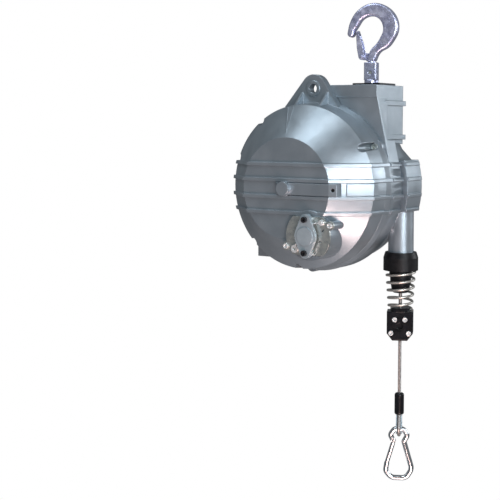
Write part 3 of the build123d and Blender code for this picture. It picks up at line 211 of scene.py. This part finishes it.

# Light zinc for the lock and clamp screws, and a painted highlight on the lock lever, which gets this
# light base so that it shows bright
zincAndHighlightFinish = newFinish("lightZincAndPaintedHighlight", (0.88, 0.90, 0.90), 0.6, 0.25)
varyColour(zincAndHighlightFinish, (0.82, 0.85, 0.86), (0.93, 0.94, 0.93), 150)
varyGloss(zincAndHighlightFinish, 0.18, 0.32, 260)
addGrain(zincAndHighlightFinish, 1500, 0.0001, 0.3, edge=0.0005)

thimbleFinish = newFinish("blueZinc", (0.52, 0.63, 0.70), 0.75, 0.3)
varyColour(thimbleFinish, (0.46, 0.57, 0.64), (0.58, 0.70, 0.76), 200)
varyGloss(thimbleFinish, 0.22, 0.38, 300)
addGrain(thimbleFinish, 1500, 0.0001, 0.3, edge=0.0005)

finishBySlot = {
    "cast_aluminium": castFinish,
    "cap_aluminium": capFinish,
    "drum_aluminium": drumFinish,
    "zinc_steel": zincFinish,
    "hook_steel": hookFinish,
    "black_steel": blackSteelFinish,
    "black_rubber": rubberFinish,
    "black_plastic": plasticFinish,
    "spring_steel": springFinish,
    "rope_steel": wireFinish,
    "chrome_steel": chromeFinish,
    "bronze": bronzeFinish,
}
# Pieces of one slot that the plating sets apart; the lock lever's light finish is a painted highlight
finishByNode = {
    # Painted highlight: the lever gets the light zinc base so that it looks brightly lit
    "lock_lever": zincAndHighlightFinish,
    "lock_screws": zincAndHighlightFinish,
    "lock_spring": zincAndHighlightFinish,
    "lock_stud": zincAndHighlightFinish,
    "clamp_screws": zincAndHighlightFinish,
    "cover_screws": zincFinish,
    "hook_stem": hookFinish,
    "hook_latch": hookFinish,
    "latch_pin": hookFinish,
    "thimble": thimbleFinish,
}
for subpart in frame["record"]["subparts"]:
    node = cadNodes[subpart["node"]]
    node.data.materials.clear()
    node.data.materials.append(finishByNode.get(subpart["node"], finishBySlot[subpart["material_slot"]]))
print("finishes given to", len(cadNodes), "nodes")

# The point on the drum's axis that places are counted from, in millimetres from the hook's seat
drumPlace = Vector((-63.5, -125.0, -240.7))


# Takes millimetres about the drum's axis to the frame's metres
def rowPoint(x, y, z):
    return (Vector((x, y, z)) + drumPlace) / 1000


# Leaves a new piece's place in its mesh and its origin at the frame's
def settle(piece):
    bpy.ops.object.transform_apply(location=True, rotation=True, scale=True)
    bpy.context.scene.cursor.location = (0, 0, 0)
    bpy.ops.object.origin_set(type="ORIGIN_CURSOR")


def applyModifiers(piece):
    bpy.context.view_layer.objects.active = piece
    for modifier in list(piece.modifiers):
        bpy.ops.object.modifier_apply(modifier=modifier.name)


# The free rope: six strands laid round a straight run, twisted as one
rope = {
    "x": 104.0,
    "y": 143.6,
    "top": -221.3,
    "bottom": -302.7,
    "radius": 2.5,
    "strands": 6,
    "strandRadius": 0.93,
    "steps": 40,
    "lay": 24.0,
}
ropeLength = (rope["top"] - rope["bottom"]) / 1000
ropeStep = ropeLength / rope["steps"]
ropeTop = rowPoint(rope["x"], rope["y"], rope["top"])
ropeEnd = rowPoint(rope["x"], rope["y"], rope["bottom"])
strands = []
for strandIndex in range(rope["strands"]):
    turn = math.radians(360 / rope["strands"] * strandIndex)
    reach = (rope["radius"] - rope["strandRadius"]) / 1000
    bpy.ops.mesh.primitive_cylinder_add(
        vertices=12,
        radius=rope["strandRadius"] / 1000,
        depth=ropeStep,
        end_fill_type="NOTHING",
        location=(reach * math.cos(turn), reach * math.sin(turn), ropeStep / 2),
    )
    strands.append(bpy.context.object)
for strand in strands:
    strand.select_set(True)
bpy.context.view_layer.objects.active = strands[0]
bpy.ops.object.join()
ropeStrands = bpy.context.object
ropeStrands.name = "ropeStrands"
settle(ropeStrands)
stack = ropeStrands.modifiers.new("stack", "ARRAY")
stack.count = rope["steps"]
stack.use_relative_offset = False
stack.use_constant_offset = True
stack.constant_offset_displace = (0, 0, ropeStep)
stack.use_merge_vertices = True
stack.merge_threshold = 0.00002
twist = ropeStrands.modifiers.new("twist", "SIMPLE_DEFORM")
twist.deform_method = "TWIST"
twist.deform_axis = "Z"
twist.angle = 2 * math.pi * ropeLength * 1000 / rope["lay"]
applyModifiers(ropeStrands)
ropeStrands.location = ropeEnd
bpy.ops.object.transform_apply(location=True, rotation=True, scale=True)
bpy.ops.object.shade_smooth()
ropeStrands.data.materials.append(wireFinish)
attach(ropeStrands, "rope_end")
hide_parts("rope_lower")
clearSelection()
print("rope strands laid")

# The rope from the drum to the clamp, drawn as one fixed smooth cylinder
upperTop = rowPoint(rope["x"], rope["y"], 0)
upperEnd = ropeTop
bpy.ops.mesh.primitive_cylinder_add(
    vertices=48,
    radius=rope["radius"] / 1000,
    depth=(upperTop - upperEnd).length,
    location=(upperTop + upperEnd) / 2,
)
ropeAbove = bpy.context.object
ropeAbove.name = "ropeAbove"
bpy.ops.object.transform_apply(location=True, rotation=True, scale=True)
bpy.ops.object.shade_smooth_by_angle(angle=math.radians(35))
ropeAbove.data.materials.append(wireFinish)
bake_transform(ropeAbove)
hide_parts("rope_upper")
clearSelection()
print("upper rope drawn")

# Walls of the five pockets that the rim screws go down, on their inner side
pockets = {
    "angles": (30.0, 127.0, 160.0, 225.0, 268.0),
    "circle": 114.0,
    "radius": 6.35,
    "front": 41.0,
    "back": 77.0,
    "setBack": 0.5,
    "wall": 2.5,
}
pocketMiddle = (pockets["front"] + pockets["back"]) / 2
for pocketIndex, pocketAngle in enumerate(pockets["angles"]):
    turn = math.radians(pocketAngle)
    centre = rowPoint(pockets["circle"] * math.cos(turn), pocketMiddle, pockets["circle"] * math.sin(turn))
    bpy.ops.mesh.primitive_cylinder_add(
        vertices=48,
        radius=pockets["radius"] / 1000,
        depth=(pockets["back"] - pockets["front"]) / 1000,
        end_fill_type="NOTHING",
        location=centre,
        rotation=(math.pi / 2, 0, 0),
    )
    liner = bpy.context.object
    liner.name = "pocketWall" + str(pocketIndex + 1)
    settle(liner)
    outward = Vector((math.cos(turn), 0, math.sin(turn)))
    bpy.ops.object.mode_set(mode="EDIT")
    bpy.ops.mesh.select_all(action="SELECT")
    edgePlace = centre - outward * pockets["setBack"] / 1000
    bpy.ops.mesh.bisect(plane_co=edgePlace, plane_no=outward, clear_outer=True)
    bpy.ops.object.mode_set(mode="OBJECT")
    shell = liner.modifiers.new("shell", "SOLIDIFY")
    shell.thickness = pockets["wall"] / 1000
    shell.offset = 1
    applyModifiers(liner)
    bpy.ops.object.shade_smooth_by_angle(angle=math.radians(35))
    liner.data.materials.append(castFinish)
    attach(liner, "housing")
    clearSelection()
print("screw pockets lined")

# The flared edge of the front cover, which catches the light all round
flare = {"front": 71.0, "back": 80.4, "frontRadius": 118.0, "backRadius": 121.4, "wall": 2.0}
bpy.ops.mesh.primitive_cone_add(
    vertices=256,
    radius1=flare["frontRadius"] / 1000,
    radius2=flare["backRadius"] / 1000,
    depth=(flare["back"] - flare["front"]) / 1000,
    end_fill_type="NOTHING",
    location=rowPoint(0, (flare["front"] + flare["back"]) / 2, 0),
    rotation=(-math.pi / 2, 0, 0),
)
rimFlare = bpy.context.object
rimFlare.name = "rimFlare"
settle(rimFlare)
shell = rimFlare.modifiers.new("shell", "SOLIDIFY")
shell.thickness = flare["wall"] / 1000
shell.offset = -1
applyModifiers(rimFlare)
bpy.ops.object.shade_smooth_by_angle(angle=math.radians(35))
rimFlare.data.materials.append(castFinish)
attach(rimFlare, "housing")
clearSelection()
print("rim flared")


# A box between two corners, in millimetres about the drum's axis
def boxCutter(low, high):
    clearSelection()
    bpy.ops.mesh.primitive_cube_add(size=1, location=(rowPoint(*low) + rowPoint(*high)) / 2)
    cutter = bpy.context.object
    cutter.scale = rowPoint(*high) - rowPoint(*low)
    bpy.ops.object.transform_apply(location=True, rotation=True, scale=True)
    return cutter


def cut(piece, cutter, operation):
    change = piece.modifiers.new("cut", "BOOLEAN")
    change.operation = operation
    change.object = cutter
    change.solver = "EXACT"
    applyModifiers(piece)


# A merged copy of a CAD node, which stands for it
def reshapedCopy(nodeName, name, body):
    clearSelection()
    cadNode = cadNodes[nodeName]
    piece = cadNode.copy()
    piece.data = cadNode.data.copy()
    piece.name = name
    bpy.context.scene.collection.objects.link(piece)
    piece.select_set(True)
    bpy.context.view_layer.objects.active = piece
    bpy.ops.object.mode_set(mode="EDIT")
    bpy.ops.mesh.select_all(action="SELECT")
    bpy.ops.mesh.remove_doubles(threshold=0.000001)
    bpy.ops.object.mode_set(mode="OBJECT")
    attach(piece, body)
    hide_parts(nodeName)
    return piece


# The lock's plate, as a disc with a flat top and bottom
lockPlateBox = {"low": (-5, -14, -88.5), "high": (85, 6, -36.5)}
plateCutter = boxCutter(lockPlateBox["low"], lockPlateBox["high"])
lockPlate = reshapedCopy("lock_plate", "lockPlate", "housing")
cut(lockPlate, plateCutter, "INTERSECT")
bpy.data.objects.remove(plateCutter)
print("lock plate trimmed")

# The rear case, with lower lips on its tower
towerLips = {"low": (97.4, 90, 66.4), "high": (112, 175, 123)}
lipCutter = boxCutter(towerLips["low"], towerLips["high"])
rearCase = reshapedCopy("rear_case", "rearCase", "housing")
cut(rearCase, lipCutter, "DIFFERENCE")
bpy.data.objects.remove(lipCutter)
clearSelection()
print("rear case reshaped")

# Studio: white surroundings for the camera, a far floor, and soft lamps
studio = {
    "floorHeight": -2.9,
    "floorSize": 60.0,
    "fillStrength": 0.19,
    "key": {"place": (1.75, -1.35, 0.15), "size": 1.1, "power": 34.0, "colour": (0.86, 0.94, 1.0)},
    "warm": {"place": (0.9, -1.2, -1.5), "size": 0.9, "power": 26.0, "colour": (1.0, 0.72, 0.66)},
    "top": {"place": (-0.3, -0.9, 1.3), "size": 0.9, "power": 12.0, "colour": (0.84, 0.93, 1.0)},
    "back": {"place": (1.5, 1.5, 0.2), "size": 0.8, "power": 10.0, "colour": (0.92, 0.96, 1.0)},
}


def whiteForCamera(tree, litShader, output):
    rays = tree.nodes.new("ShaderNodeLightPath")
    isMaterial = output.type == "OUTPUT_MATERIAL"
    white = tree.nodes.new("ShaderNodeEmission" if isMaterial else "ShaderNodeBackground")
    white.inputs["Color"].default_value = (1, 1, 1, 1)
    white.inputs["Strength"].default_value = 1
    mix = tree.nodes.new("ShaderNodeMixShader")
    tree.links.new(rays.outputs["Is Camera Ray"], mix.inputs["Fac"])
    tree.links.new(litShader.outputs[0], mix.inputs[1])
    tree.links.new(white.outputs[0], mix.inputs[2])
    tree.links.new(mix.outputs[0], output.inputs["Surface"])


world = bpy.data.worlds.new("studioWorld")
bpy.context.scene.world = world
world.use_nodes = True
fill = world.node_tree.nodes["Background"]
fill.inputs["Color"].default_value = (0.90, 0.95, 1.0, 1)
fill.inputs["Strength"].default_value = studio["fillStrength"]
whiteForCamera(world.node_tree, fill, world.node_tree.nodes["World Output"])

bpy.ops.mesh.primitive_plane_add(size=studio["floorSize"], location=(0, 0, studio["floorHeight"]))
floor = bpy.context.object
floor.name = "studioFloor"
floorFinish = newFinish("paleFloor", (0.82, 0.82, 0.82), 0.0, 0.8)
floorTree = floorFinish.node_tree
whiteForCamera(floorTree, floorTree.nodes["Principled BSDF"], floorTree.nodes["Material Output"])
floor.data.materials.append(floorFinish)

lampAim = Vector((-0.03, -0.03, -0.25))
for lampName in ("key", "warm", "top", "back"):
    setup = studio[lampName]
    bpy.ops.object.light_add(type="AREA", location=setup["place"])
    lamp = bpy.context.object
    lamp.name = lampName + "Lamp"
    lamp.data.size = setup["size"]
    lamp.data.energy = setup["power"]
    lamp.data.color = setup["colour"]
    lamp.rotation_euler = (lampAim - Vector(setup["place"])).to_track_quat("-Z", "Y").to_euler()
bpy.context.scene.view_settings.view_transform = "Standard"
print("studio lit")
